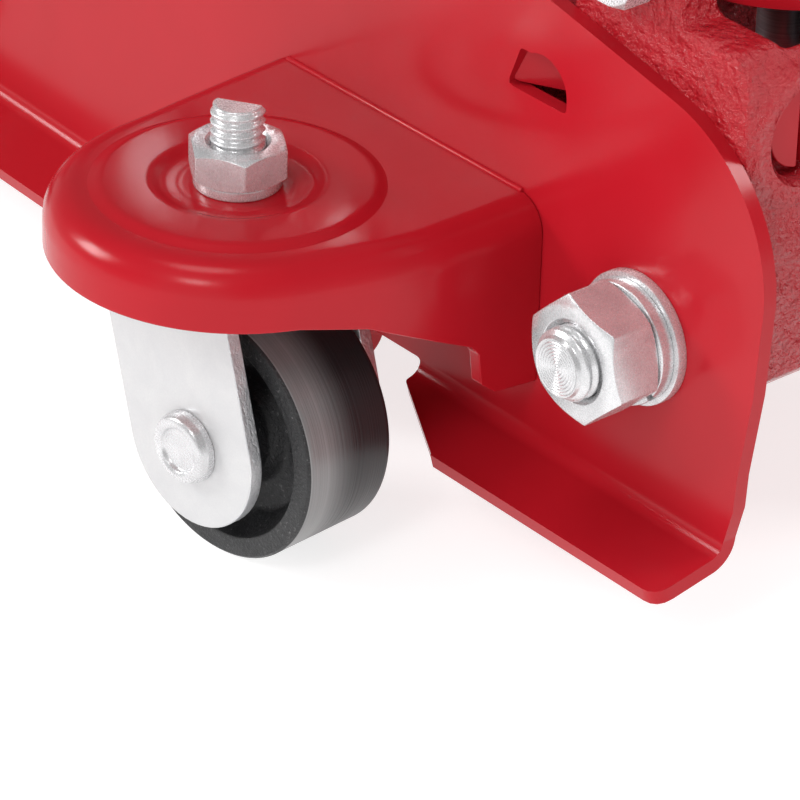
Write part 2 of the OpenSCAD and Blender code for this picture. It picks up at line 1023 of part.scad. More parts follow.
color(red) side_plate(1);  // side_plate_left
color(red) side_plate(-1);  // side_plate_right
color(red) caster_bracket(1);  // caster_bracket_left
color(red) caster_bracket(-1);  // caster_bracket_right
color(zinc) caster_stem(1);  // caster_stem_left
color(zinc) caster_stem(-1);  // caster_stem_right
color(zinc) stem_nuts();
color(zinc) stem_spring_washers();
color(steel) ball_race(1);  // ball_race_left
color(steel) ball_race(-1);  // ball_race_right
color(zinc) fork(1);  // fork_left
color(zinc) fork(-1);  // fork_right
color(black) caster_wheel(1);  // caster_wheel_left
color(black) caster_wheel(-1);  // caster_wheel_right
color(zinc) axle_rivet(1);  // axle_rivet_left
color(zinc) axle_rivet(-1);  // axle_rivet_right
color(zinc) power_unit_studs();
color(zinc) stud_nuts();
color(zinc) stud_spring_washers();
color(zinc) stud_flat_washers();
color(red) power_unit_casting();
color(red) valve_plug();
color(black) filler_plug();
color(red) reservoir_tube();
color(red) cylinder_end_nut();
color(steel) ram();
color(steel) ram_head();
color(steel) release_valve();
color(steel) valve_cup();
color(steel) pump_plunger();
color(steel) plunger_spring();
color(red) handle_socket();
color(zinc) socket_bolts();
color(steel) pump_roller();
color(steel) roller_pin();
color(red) handle_lower();
color(red) handle_upper();
color(steel) snap_button();
color(black) grip();
color(red) lift_arm();
color(steel) arm_shaft();
color(steel) shaft_clips();
color(steel) cross_pin();
color(steel) saddle_pin();
color(red) saddle_bracket();
color(black) saddle();
color(steel) saddle_clip();
color(steel) rod(1);  // rod_left
color(steel) rod(-1);  // rod_right
color(steel) rod_rear_pins();
color(steel) rod_front_pin();
color(steel) return_springs();
color(steel) front_axle();
color(black) front_roller(1);  // front_roller_left
color(black) front_roller(-1);  // front_roller_right
color(zinc) axle_nuts();
color(steel) tie_rods();
color(zinc) tie_rod_nuts();
color(red) cover_plate();
color(zinc) cover_screws();
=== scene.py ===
"""Hydraulic trolley jack, seen close at its rear left corner.

Lengths are worked out in millimetres and turned into metres when a piece is finished.
X points to the saddle, Y to the jack's left, Z up.
"""
import json
from math import atan2, cos, degrees, hypot, pi, radians, sin, sqrt, tan

import bmesh
import bpy
from mathutils import Matrix, Vector

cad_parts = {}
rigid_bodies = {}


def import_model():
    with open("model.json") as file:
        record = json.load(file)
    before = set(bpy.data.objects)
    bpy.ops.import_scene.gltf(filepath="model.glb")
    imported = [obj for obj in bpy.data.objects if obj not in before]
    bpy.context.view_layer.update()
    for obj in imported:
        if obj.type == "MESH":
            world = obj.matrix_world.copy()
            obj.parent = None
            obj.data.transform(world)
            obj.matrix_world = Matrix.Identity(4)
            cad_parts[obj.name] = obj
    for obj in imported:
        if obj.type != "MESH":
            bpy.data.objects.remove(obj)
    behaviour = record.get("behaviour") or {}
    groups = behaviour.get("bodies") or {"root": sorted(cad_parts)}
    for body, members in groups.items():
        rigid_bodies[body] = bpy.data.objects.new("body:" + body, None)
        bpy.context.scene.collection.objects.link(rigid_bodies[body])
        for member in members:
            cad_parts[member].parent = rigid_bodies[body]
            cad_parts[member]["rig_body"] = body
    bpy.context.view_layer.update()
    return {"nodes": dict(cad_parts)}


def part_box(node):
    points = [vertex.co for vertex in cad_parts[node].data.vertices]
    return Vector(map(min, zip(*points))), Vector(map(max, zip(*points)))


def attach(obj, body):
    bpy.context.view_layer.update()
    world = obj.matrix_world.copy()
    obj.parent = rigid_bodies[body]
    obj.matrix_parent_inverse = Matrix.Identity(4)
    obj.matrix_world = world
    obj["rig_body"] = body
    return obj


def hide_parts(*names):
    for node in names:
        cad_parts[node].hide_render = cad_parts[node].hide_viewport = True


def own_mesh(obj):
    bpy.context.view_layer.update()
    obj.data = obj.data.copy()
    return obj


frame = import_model()
nodes = frame["nodes"]

MM = 0.001
X = Vector((1, 0, 0))
Y = Vector((0, 1, 0))
Z = Vector((0, 0, 1))


def span(node):
    """A node's lowest and highest corners in millimetres."""
    low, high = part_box(node)
    return low / MM, high / MM


def middle(node):
    low, high = span(node)
    return (low + high) / 2


# ---------------------------------------------------------------- places taken from the frame

PLATE_T = 3.0
CASTER_TURN = radians(4.6)

plate_low, plate_high = span("side_plate_left")
REAR_X = plate_low.x
FRONT_X = plate_high.x
INNER = plate_low.y
HALF_W = INNER + PLATE_T
STEM = middle("caster_stem_left")
STEM.z = 0
STEM_REACH = STEM.y - HALF_W
BRACKET_Z = span("stem_spring_washers")[0].z
STUD = middle("stud_nuts")
PIVOT = middle("arm_shaft")
HINGE_X = middle("handle_upper").x
WHEEL = middle("caster_wheel_left")


# ---------------------------------------------------------------- finishes

def new_finish(name):
    """A fresh material, its node tree, its shader and the place on the object."""
    material = bpy.data.materials.new(name)
    material.use_nodes = True
    tree = material.node_tree
    shader = tree.nodes["Principled BSDF"]
    place = tree.nodes.new("ShaderNodeTexCoord").outputs["Object"]
    return material, tree, shader, place


def feed(tree, socket, value):
    """Sets a socket, or links it when the value comes from another node."""
    if isinstance(value, bpy.types.NodeSocket):
        tree.links.new(value, socket)
    else:
        socket.default_value = value


def stretched(tree, place, scale, turn=(0, 0, 0)):
    mapping = tree.nodes.new("ShaderNodeMapping")
    feed(tree, mapping.inputs["Vector"], place)
    mapping.inputs["Scale"].default_value = scale
    mapping.inputs["Rotation"].default_value = turn
    return mapping.outputs["Vector"]


def noise(tree, place, size, detail=3.0, rough=0.55, warp=0.0):
    """Cloudy noise whose patches are about size millimetres wide."""
    made = tree.nodes.new("ShaderNodeTexNoise")
    feed(tree, made.inputs["Vector"], place)
    made.inputs["Scale"].default_value = 1 / (size * MM)
    made.inputs["Detail"].default_value = detail
    made.inputs["Roughness"].default_value = rough
    made.inputs["Distortion"].default_value = warp
    return made.outputs["Fac"]


def between(tree, value, low, high, to_low=0.0, to_high=1.0):
    """Spreads the stretch low to high of a value over to_low to to_high."""
    made = tree.nodes.new("ShaderNodeMapRange")
    feed(tree, made.inputs["Value"], value)
    made.inputs["From Min"].default_value = low
    made.inputs["From Max"].default_value = high
    made.inputs["To Min"].default_value = to_low
    made.inputs["To Max"].default_value = to_high
    return made.outputs["Result"]


def worked(tree, how, first, second=0.0):
    made = tree.nodes.new("ShaderNodeMath")
    made.operation = how
    feed(tree, made.inputs[0], first)
    feed(tree, made.inputs[1], second)
    return made.outputs[0]


def blended(tree, share, first, second):
    made = tree.nodes.new("ShaderNodeMix")
    made.data_type = "RGBA"
    feed(tree, made.inputs[0], share)
    feed(tree, made.inputs[6], first if isinstance(first, bpy.types.NodeSocket) else (*first, 1))
    feed(tree, made.inputs[7], second if isinstance(second, bpy.types.NodeSocket) else (*second, 1))
    return made.outputs[2]


def bumped(tree, height, depth, strength=1.0, under=None):
    """A bump whose full height is depth millimetres."""
    made = tree.nodes.new("ShaderNodeBump")
    feed(tree, made.inputs["Height"], height)
    made.inputs["Distance"].default_value = depth * MM
    made.inputs["Strength"].default_value = strength
    if under is not None:
        tree.links.new(under, made.inputs["Normal"])
    return made.outputs["Normal"]


def enamel(name, colour, shade, rough=0.2, gloss=0.22, grain=0.0, grain_size=1.2, skin=0.012):
    """Glossy paint: soft colour drift, orange peel, faint wiping marks and, on a casting, grain."""
    material, tree, shader, place = new_finish(name)
    drift = between(tree, noise(tree, place, 34, 3, 0.5, 0.4), 0.3, 0.7)
    wiped = between(tree, noise(tree, place, 11, 3, 0.6), 0.3, 0.7, rough - 0.02, rough + 0.04)
    tone = blended(tree, drift, colour, shade)
    feed(tree, shader.inputs["Base Color"], tone)
    feed(tree, shader.inputs["Roughness"], wiped)
    shader.inputs["Specular IOR Level"].default_value = gloss
    peel = bumped(tree, noise(tree, place, 3.0, 2, 0.5), skin)
    if grain:
        peel = bumped(tree, noise(tree, place, 3 * grain_size, 3, 0.6), 2 * grain, 1.0, peel)
        peel = bumped(tree, noise(tree, place, grain_size, 4, 0.7), grain, 1.0, peel)
    feed(tree, shader.inputs["Normal"], peel)
    return material


def tread_finish():
    """Moulded wheel tread: fine lathe lines and, beside its outer edge, a painted sheen: a lighter, partly
    metallic band that stands in for a reflection.
    """
    material, tree, shader, place = new_finish("tread_black")
    split = tree.nodes.new("ShaderNodeSeparateXYZ")
    feed(tree, split.inputs[0], place)
    out = worked(tree, "ABSOLUTE", split.outputs["Y"])
    along = worked(tree, "MULTIPLY", out, cos(CASTER_TURN))
    aside = worked(tree, "MULTIPLY", split.outputs["X"], sin(CASTER_TURN))
    across = worked(tree, "SUBTRACT", along, aside)
    middle_line = (WHEEL.y * cos(CASTER_TURN) - WHEEL.x * sin(CASTER_TURN)) * MM
    lines = tree.nodes.new("ShaderNodeTexNoise")
    lines.noise_dimensions = "1D"
    feed(tree, lines.inputs["W"], across)
    lines.inputs["Scale"].default_value = 1 / (0.55 * MM)
    lines.inputs["Detail"].default_value = 3
    fine = lines.outputs["Fac"]
    # Painted sheen: a lighter grey, partly metallic band beside the tread's outer edge, broken by the lathe
    # lines, in place of a reflection.
    painted_sheen = between(tree, across, middle_line - 2.5 * MM, middle_line + 5.5 * MM)
    streaks = between(tree, fine, 0.2, 0.6, 0.75, 1.0)
    painted_sheen = worked(tree, "MULTIPLY", worked(tree, "POWER", painted_sheen, 1.6), streaks)
    feed(tree, shader.inputs["Base Color"], blended(tree, painted_sheen, (0.014, 0.014, 0.015), (0.26, 0.26, 0.26)))
    feed(tree, shader.inputs["Metallic"], worked(tree, "MULTIPLY", painted_sheen, 0.4))
    feed(tree, shader.inputs["Roughness"], between(tree, fine, 0.3, 0.7, 0.30, 0.42))
    feed(tree, shader.inputs["Normal"], bumped(tree, fine, 0.05))
    return material


def plating(name, colour, shade, rough=0.3, speckle=0.03, size=0.5, metal=1.0, spread=0.12):
    """Bright zinc: fine speckle and a cloudy sheen."""
    material, tree, shader, place = new_finish(name)
    cloud = between(tree, noise(tree, place, 7, 5, 0.65, 0.5), 0.35, 0.7)
    fine = noise(tree, place, size, 3, 0.7)
    tone = blended(tree, cloud, colour, shade)
    tone = blended(tree, between(tree, fine, 0.3, 0.7, 0, 0.6), tone, shade)
    feed(tree, shader.inputs["Base Color"], tone)
    feed(tree, shader.inputs["Roughness"], between(tree, fine, 0.3, 0.7, rough - spread / 2, rough + spread))
    shader.inputs["Metallic"].default_value = metal
    feed(tree, shader.inputs["Normal"], bumped(tree, fine, speckle))
    return material


def turned_metal(name, colour, shade, axis, rough=0.3, metal=1.0, pitch=0.35, depth=0.01):
    """Metal or plastic with fine lathe lines round an axis, or drawn lines along it."""
    material, tree, shader, place = new_finish(name)
    scale = tuple(1.0 if a else 0.02 for a in axis)
    lines = noise(tree, stretched(tree, place, scale), pitch, 3, 0.6)
    cloud = between(tree, noise(tree, place, 9, 4, 0.6), 0.35, 0.7)
    tone = blended(tree, between(tree, lines, 0.3, 0.7), colour, shade)
    tone = blended(tree, between(tree, cloud, 0, 1, 0, 0.5), tone, shade)
    feed(tree, shader.inputs["Base Color"], tone)
    feed(tree, shader.inputs["Roughness"], between(tree, lines, 0.3, 0.7, rough - 0.07, rough + 0.1))
    shader.inputs["Metallic"].default_value = metal
    feed(tree, shader.inputs["Normal"], bumped(tree, lines, depth))
    return material


def rough_black(name, colour, shade, rough=0.45, grain=0.12, size=0.9, glint=0.0):
    """Black cast or moulded stuff: grainy, with painted glints, light grey on the grain's tips."""
    material, tree, shader, place = new_finish(name)
    fine = noise(tree, place, size, 4, 0.65)
    wide = noise(tree, place, 6, 3, 0.6)
    tone = blended(tree, between(tree, wide, 0.35, 0.7), colour, shade)
    # Painted glints: the grain's tips are blended towards a light grey in place of highlights.
    if glint:
        tips = between(tree, fine, 0.62, 0.72)
        tone = blended(tree, tips, tone, (glint, glint, glint))
    feed(tree, shader.inputs["Base Color"], tone)
    feed(tree, shader.inputs["Roughness"], between(tree, fine, 0.3, 0.7, rough + 0.1, rough - 0.1))
    feed(tree, shader.inputs["Normal"], bumped(tree, fine, grain))
    return material


RED = (0.40, 0.008, 0.016)
RED_DEEP = (0.365, 0.007, 0.013)

gloss_red = enamel("gloss_red", RED, RED_DEEP)
cast_red = enamel("cast_red", RED, RED_DEEP, 0.1, 0.6, 1.5, 2.3)
tube_red = enamel("tube_red", RED, RED_DEEP, 0.22, 0.3)
bright_zinc = plating("bright_zinc", (0.78, 0.78, 0.79), (0.58, 0.58, 0.59), 0.26, 0.012, 0.5, 0.6, 0.06)
sheet_zinc = plating("sheet_zinc", (0.64, 0.64, 0.64), (0.58, 0.58, 0.59), 0.42, 0.012, 0.35, 0.5, 0.08)
cut_zinc = plating("cut_zinc", (0.92, 0.92, 0.93), (0.60, 0.61, 0.63), 0.35, 0.16, 0.55)
black_cast = rough_black("black_cast", (0.018, 0.018, 0.020), (0.008, 0.008, 0.009), 0.42, 0.22, 0.9, 0.16)
rim_black = rough_black("rim_black", (0.022, 0.022, 0.023), (0.012, 0.012, 0.013), 0.42, 0.3, 0.7, 0.14)
tread_black = tread_finish()
bar_steel = turned_metal("bar_steel", (0.62, 0.62, 0.63), (0.42, 0.42, 0.43), (0, 1, 0))
rod_steel = turned_metal("rod_steel", (0.55, 0.55, 0.56), (0.36, 0.36, 0.38), (0, 0, 1), 0.36)
ground_steel = turned_metal(
    "ground_steel", (0.80, 0.80, 0.81), (0.66, 0.66, 0.68), (1, 0, 0), 0.16, 1, 0.4, 0.004
)
spring_steel = turned_metal("spring_steel", (0.30, 0.30, 0.32), (0.16, 0.16, 0.17), (0, 0, 1), 0.34)
pin_steel = turned_metal("pin_steel", (0.62, 0.62, 0.64), (0.44, 0.44, 0.46), (0, 1, 0), 0.26)
black_iron = rough_black("black_iron", (0.030, 0.030, 0.032), (0.016, 0.016, 0.017), 0.5, 0.16, 1.2, 0.1)
black_plastic = rough_black("black_plastic", (0.020, 0.020, 0.021), (0.012, 0.012, 0.013), 0.5, 0.03, 0.6)
grip_rubber = rough_black("grip_rubber", (0.022, 0.022, 0.023), (0.013, 0.013, 0.014), 0.7, 0.05, 0.5)


# ---------------------------------------------------------------- mesh tools

def flat_face(points):
    """A bmesh with one face drawn through points in X and Y."""
    bm = bmesh.new()
    bm.faces.new([bm.verts.new((x, y, 0)) for x, y in points])
    return bm


def thicken(bm, depth):
    """Pulls a flat drawing up into a solid depth thick."""
    made = bmesh.ops.extrude_face_region(bm, geom=bm.faces[:])
    moved = [g for g in made["geom"] if isinstance(g, bmesh.types.BMVert)]
    bmesh.ops.translate(bm, vec=(0, 0, depth), verts=moved)
    bmesh.ops.recalc_face_normals(bm, faces=bm.faces[:])
    return bm


def turned(profile, steps=96, closed=False, angle=2 * pi, climb=0.0):
    """Spins a profile of (radius, height) points about Z."""
    bm = bmesh.new()
    verts = [bm.verts.new((r, 0, h)) for r, h in profile]
    edges = [bm.edges.new(pair) for pair in zip(verts, verts[1:])]
    if closed:
        edges.append(bm.edges.new((verts[-1], verts[0])))
    whole = abs(angle - 2 * pi) < 1e-6 and not climb
    bmesh.ops.spin(
        bm, geom=verts + edges, cent=(0, 0, 0), axis=(0, 0, 1),
        dvec=(0, 0, climb / steps), angle=angle, steps=steps, use_merge=whole,
    )
    bmesh.ops.remove_doubles(bm, verts=bm.verts[:], dist=1e-4)
    bmesh.ops.recalc_face_normals(bm, faces=bm.faces[:])
    return bm


def soft(points, radius, steps=3, closed=False):
    """Rounds the corners of a drawn line; radius may be one number or one for each corner."""
    count = len(points)
    made = []
    for i, here in enumerate(points):
        r = radius[i] if isinstance(radius, (list, tuple)) else radius
        if not closed and i in (0, count - 1) or r <= 0:
            made.append(tuple(here))
            continue
        here = Vector(here)
        back = Vector(points[i - 1]) - here
        on = Vector(points[(i + 1) % count]) - here
        turn = back.angle(on)
        if turn > pi - 0.02:
            made.append(tuple(here))
            continue
        cut = min(r / tan(turn / 2), 0.45 * back.length, 0.45 * on.length)
        start = here + back.normalized() * cut
        end = here + on.normalized() * cut
        for k in range(steps + 1):
            t = k / steps
            made.append(tuple((1 - t) ** 2 * start + 2 * t * (1 - t) * here + t * t * end))
    return made


def arc(x, y, r, start, end, steps=12):
    """Points on a circle between two angles in degrees."""
    turns = (radians(start + (end - start) * i / steps) for i in range(steps + 1))
    return [(x + r * cos(a), y + r * sin(a)) for a in turns]


def place(bm, at, axis=Z, spin=0.0):
    """Turns Z to an axis and moves the origin to a point."""
    turn = Z.rotation_difference(axis).to_matrix().to_4x4()
    bm.transform(Matrix.Translation(Vector(at)) @ turn @ Matrix.Rotation(spin, 4, "Z"))
    return bm


def joined(*parts):
    """Gathers several bmeshes into the first."""
    first = parts[0]
    for part in parts[1:]:
        mesh = bpy.data.meshes.new("part")
        part.to_mesh(mesh)
        first.from_mesh(mesh)
        bpy.data.meshes.remove(mesh)
        part.free()
    return first


def flipped(bm, also=False):
    """The mirror image across the jack; with also, the first half is kept too."""
    mesh = bpy.data.meshes.new("half")
    bm.to_mesh(mesh)
    other = bm if not also else bmesh.new()
    if also:
        other.from_mesh(mesh)
    bpy.data.meshes.remove(mesh)
    other.transform(Matrix.Scale(-1, 4, Y))
    bmesh.ops.reverse_faces(other, faces=other.faces[:])
    return joined(bm, other) if also else other


def loose_object(bm, name="tool"):
    mesh = bpy.data.meshes.new(name)
    bm.to_mesh(mesh)
    bm.free()
    made = bpy.data.objects.new(name, mesh)
    bpy.context.scene.collection.objects.link(made)
    return made


def settled(obj):
    """The object's mesh with its modifiers applied, as a bmesh; the object goes."""
    graph = bpy.context.evaluated_depsgraph_get()
    mesh = bpy.data.meshes.new_from_object(obj.evaluated_get(graph))
    bm = bmesh.new()
    bm.from_mesh(mesh)
    old = obj.data
    bpy.data.objects.remove(obj)
    bpy.data.meshes.remove(old)
    bpy.data.meshes.remove(mesh)
    return bm


def carved(bm, tool, how="DIFFERENCE"):
    """A solid with another cut from it, added to it, or kept in common."""
    body = loose_object(bm)
    other = loose_object(tool)
    step = body.modifiers.new("carve", "BOOLEAN")
    step.operation = how
    step.solver = "EXACT"
    step.object = other
    made = settled(body)
    old = other.data
    bpy.data.objects.remove(other)
    bpy.data.meshes.remove(old)
    bmesh.ops.remove_doubles(made, verts=made.verts[:], dist=1e-4)
    return made


def cut_across(bm, at, normal):
    bmesh.ops.bisect_plane(
        bm, geom=bm.verts[:] + bm.edges[:] + bm.faces[:], dist=1e-5, plane_co=at, plane_no=normal
    )


def bend(bm, at, along, up, radius, angle, only=lambda point: True, steps=8):
    """Bends a sheet past a line: at lies on its hollow face, up points to the bend's centre."""
    at = Vector(at)
    for i in range(steps + 1):
        cut_across(bm, at + along * (radius * angle * i / steps), along)
    for vert in bm.verts:
        run = (vert.co - at).dot(along)
        if run <= 0 or not only(vert.co):
            continue
        rise = (vert.co - at).dot(up)
        turn = min(run / radius, angle)
        past = max(run - radius * angle, 0)
        flat = vert.co - along * run - up * rise
        reach = (radius - rise) * sin(turn) + past * cos(turn)
        lift = radius - (radius - rise) * cos(turn) + past * sin(turn)
        vert.co = flat + along * reach + up * lift


def finished(bm, name, body, looks, *stands_for, bevel=0.0, smooth=40, wall=0.0, slot=None):
    """Makes the piece's object in metres, gives it its looks and ties it to its body."""
    bm.transform(Matrix.Scale(MM, 4))
    mesh = bpy.data.meshes.new(name)
    bm.to_mesh(mesh)
    bm.free()
    for face in mesh.polygons:
        face.use_smooth = True
    mesh.set_sharp_from_angle(angle=radians(smooth))
    piece = bpy.data.objects.new(name, mesh)
    bpy.context.scene.collection.objects.link(piece)
    for look in looks if isinstance(looks, (list, tuple)) else [looks]:
        mesh.materials.append(look)
    if wall:
        step = piece.modifiers.new("wall", "SOLIDIFY")
        step.thickness = wall * MM
        step.offset = -1
        step.use_even_offset = True
        step.use_quality_normals = True
    if bevel:
        step = piece.modifiers.new("edges", "BEVEL")
        step.width = bevel * MM
        step.segments = 2
        step.limit_method = "ANGLE"
        step.angle_limit = radians(32)
        step.use_clamp_overlap = True
        step = piece.modifiers.new("faces", "WEIGHTED_NORMAL")
        step.weight = 80
        step.keep_sharp = True
    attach(piece, body)
    if stands_for:
        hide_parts(*stands_for)
    return piece


# ---------------------------------------------------------------- fasteners

def screw_rows(radius, low, high, pitch, chamfer):
    """Profile rows close enough together to carry a thread."""
    count = int((high - low) / (pitch / 10))
    rows = [(radius, low + (high - low) * i / count) for i in range(count + 1)]
    slope = 6
    steps = [chamfer * (i + 1) / slope for i in range(slope)]
    rows += [(radius - step, high + 0.75 * step) for step in steps]
    return rows


def cut_thread(bm, radius, pitch, low, depth):
    """Presses a right-hand thread into the rows of a turned bar about Z."""
    for vert in bm.verts:
        r = hypot(vert.co.x, vert.co.y)
        if vert.co.z < low or r < radius - depth - 0.01:
            continue
        lead = vert.co.z / pitch - atan2(vert.co.y, vert.co.x) / (2 * pi)
        tooth = abs(2 * (lead % 1) - 1)
        groove = min(max((tooth - 0.16) / 0.72, 0), 1)
        wanted = min(r, radius - depth * groove)
        vert.co.x *= wanted / r
        vert.co.y *= wanted / r


def hex_nut(across, height, bore, lead_in=0.9, both=True):
    """A hexagon nut about Z with 30 degree chamfers that leave arcs on its flats."""
    corner = across / 2 / cos(radians(30))
    hexagon = bmesh.new()
    bmesh.ops.create_circle(hexagon, cap_ends=True, segments=6, radius=corner)
    thicken(hexagon, height)
    upright = [e for e in hexagon.edges if abs(e.verts[0].co.z - e.verts[1].co.z) > height / 2]
    bmesh.ops.bevel(
        hexagon, geom=upright, offset=0.35, segments=2, profile=0.5, affect="EDGES", material=-1
    )
    face_r = across / 2 * 0.97
    drop = (corner + 1 - face_r) * tan(radians(30))
    low = [(face_r, 0), (corner + 1, drop)] if both else [(corner + 1, 0)]
    high = [(corner + 1, height - drop), (face_r, height), (bore + lead_in, height)]
    ring = [(bore + lead_in, 0)] + low + high
    ring += [(bore, height - lead_in), (bore, lead_in)]
    envelope = turned(ring, 120, closed=True)
    return carved(hexagon, envelope, "INTERSECT")


def spring_washer(inner, outer, height, split=9, slant=14):
    """A split washer with a slanted gap."""
    edge = soft([(inner, 0), (outer, 0), (outer, height), (inner, height)], 0.35, 3, closed=True)
    bm = bmesh.new()
    ring = bm.faces.new([bm.verts.new((r, 0, h)) for r, h in edge])
    sweep = radians(360 - split)
    bmesh.ops.spin(
        bm, geom=bm.verts[:] + bm.edges[:] + [ring], cent=(0, 0, 0), axis=(0, 0, 1),
        dvec=(0, 0, 0), angle=sweep, steps=72, use_merge=False,
    )
    bmesh.ops.recalc_face_normals(bm, faces=bm.faces[:])
    for vert in bm.verts:
        lean = radians(slant) * (vert.co.z / height - 0.5)
        vert.co = Matrix.Rotation(lean, 3, "Z") @ vert.co
    return bm


def screw_end(radius, base, low, end, pitch, depth, chamfer, face):
    """A threaded bar about Z from base up to end, with its thread cut from low on."""
    top = end - 0.75 * chamfer
    rows = [(0, base), (radius, base)] + screw_rows(radius, low, top, pitch, chamfer) + face
    bm = turned(rows, 96)
    cut_thread(bm, radius, pitch, low, depth)
    return bm


# ---------------------------------------------------------------- side plates

BEND_R = 3.2
FLANGE_DROOP = radians(15)
FLANGE_TURN = pi / 2 - FLANGE_DROOP
FLANGE_W = plate_high.y - HALF_W
BEND_Z = 21.5
BEND_TOP = BEND_Z + BEND_R * tan(FLANGE_TURN / 2)
RISE_X = REAR_X + 110
RISE = tan(radians(2.5))
FLANGE_FRONT = REAR_X + 330
AXLE = middle("front_axle")


def flange_drop(out):
    """Height in the flat sheet of a point that ends up out from the plate after bending."""
    curve = BEND_R * (1 - cos(FLANGE_TURN))
    if out < curve:
        turn = atan2(sqrt(max(0, BEND_R ** 2 - (BEND_R - out) ** 2)), BEND_R - out)
        return BEND_TOP - BEND_R * turn
    return BEND_TOP - BEND_R * FLANGE_TURN - (out - curve) / sin(FLANGE_TURN)


def plate_drawing():
    """The side plate's flat sheet in X and Z, before its flange is bent."""
    top_slope = 11.7
    crest = plate_high.z
    rear_r = 31.5
    crown_r = 26
    shoulder = arc(REAR_X + rear_r, 73.9, rear_r, 180, 90 + top_slope, 16)
    start = shoulder[-1]
    slope = radians(top_slope)
    crest_x = start[0] + (crest - crown_r * (1 - cos(slope)) - start[1]) / tan(slope)
    crown = arc(crest_x + crown_r * sin(slope), crest - crown_r, crown_r, 90 + top_slope, 90, 5)
    brow = arc(PIVOT.x + 25, crest - crown_r, crown_r, 90, 68, 5)
    front_top = arc(FRONT_X - 16, AXLE.z + 14, 16, 80, 0, 10)
    nose = arc(FRONT_X - 14, AXLE.z - 6, 14, 0, -90, 8) + arc(AXLE.x, AXLE.z, 20, 270, 215, 8)
    edge = flange_drop(FLANGE_W)
    low = flange_drop(0)
    step = flange_drop(3.7)
    reach = flange_drop(FLANGE_W - 0.5)
    near, far = 7.2, 27.6
    flange_front = soft([(FLANGE_FRONT, low + 2), (FLANGE_FRONT, edge), (STEM.x + far, edge)], 5, 4)
    notch = [(STEM.x + far, reach), (STEM.x + near, step), (STEM.x + near, low), (STEM.x - near, low)]
    notch = soft(notch + [(STEM.x - near, step), (STEM.x - far, reach), (STEM.x - far, edge)], 1.2, 3)
    rear = soft([(STEM.x - far, edge), (REAR_X + 7.4, edge), (REAR_X + 6, low), (REAR_X + 4.1, 31.3)], 4, 4)
    tail = [(REAR_X + 3.7, 38.2), (REAR_X + 1.1, 55.8)]
    drawing = shoulder + crown + brow + [(PIVOT.x + 130, crest - 46)] + front_top + nose
    drawing += flange_front + notch[1:-1] + rear[1:] + tail
    clean = [drawing[0]]
    for point in drawing[1:]:
        if hypot(point[0] - clean[-1][0], point[1] - clean[-1][1]) > 0.05:
            clean.append(point)
    return clean


POCKET = Vector((STEM.x - 36.5, 0, 91))
POCKET_R = 8.0


def pocket_drawing(grow=0.0):
    """A pocket with a flat floor, a leaning front and a round back."""
    x, z = POCKET.x, POCKET.z
    r = POCKET_R + grow
    front = [(x - r, z - grow), (x + r, z - grow), (x + r - 3.2, z + 8.4 + grow)]
    return soft(front + arc(x - 1.2, z + 2.4, r - 1.2, 62, 176, 12), [1] * 3 + [0] * 13, 2, closed=True)


def side_plate():
    sheet = flat_face(plate_drawing())
    thicken(sheet, PLATE_T)
    punch = thicken(flat_face(pocket_drawing()), 4 * PLATE_T)
    bmesh.ops.translate(punch, vec=(0, 0, -PLATE_T), verts=punch.verts[:])
    sheet = carved(sheet, punch)
    sheet.transform(Matrix.Translation((0, HALF_W, 0)) @ Matrix.Rotation(pi / 2, 4, "X"))
    cut_across(sheet, Vector((RISE_X, 0, 0)), X)
    bend(
        sheet, (0, HALF_W, BEND_TOP), -Z, Y, BEND_R, FLANGE_TURN,
        lambda point: point.x < FLANGE_FRONT + 0.5, 10,
    )
    for vert in sheet.verts:
        if RISE_X < vert.co.x < FLANGE_FRONT + 0.5 and vert.co.z < BEND_TOP + 0.01:
            vert.co.z += RISE * (vert.co.x - RISE_X)
    tab = thicken(flat_face(pocket_drawing(-0.4)), 1.6)
    tab.transform(Matrix.Translation((0, HALF_W - 0.9, 0)) @ Matrix.Rotation(pi / 2, 4, "X"))
    hinge = Vector((POCKET.x + POCKET_R, HALF_W, POCKET.z))
    bmesh.ops.rotate(
        tab, cent=hinge, matrix=Matrix.Rotation(radians(28), 3, "Z"), verts=tab.verts[:]
    )
    return joined(sheet, tab)


# ---------------------------------------------------------------- caster brackets

FOLD_R = 6.6
RIM = 12.0
WALL_X = 40.0
NOSE_R = 35.63
RING_R = 27.5


def wall_foot(x, y):
    """Height of the bracket's lower edge: level round the nose, deep beside the plate."""
    level = BRACKET_Z - RIM
    if x > -30:
        return level
    steps = [(0, 34), (10, 35), (13.6, 37.8), (14.4, 44.1)]
    steps += [(16.2, 46.5), (25.7, 51), (38.6, 56.7), (52, level)]
    for (y0, z0), (y1, z1) in zip(steps, steps[1:]):
        if y <= y1:
            return z0 + (z1 - z0) * max(0, y - y0) / (y1 - y0)
    return level


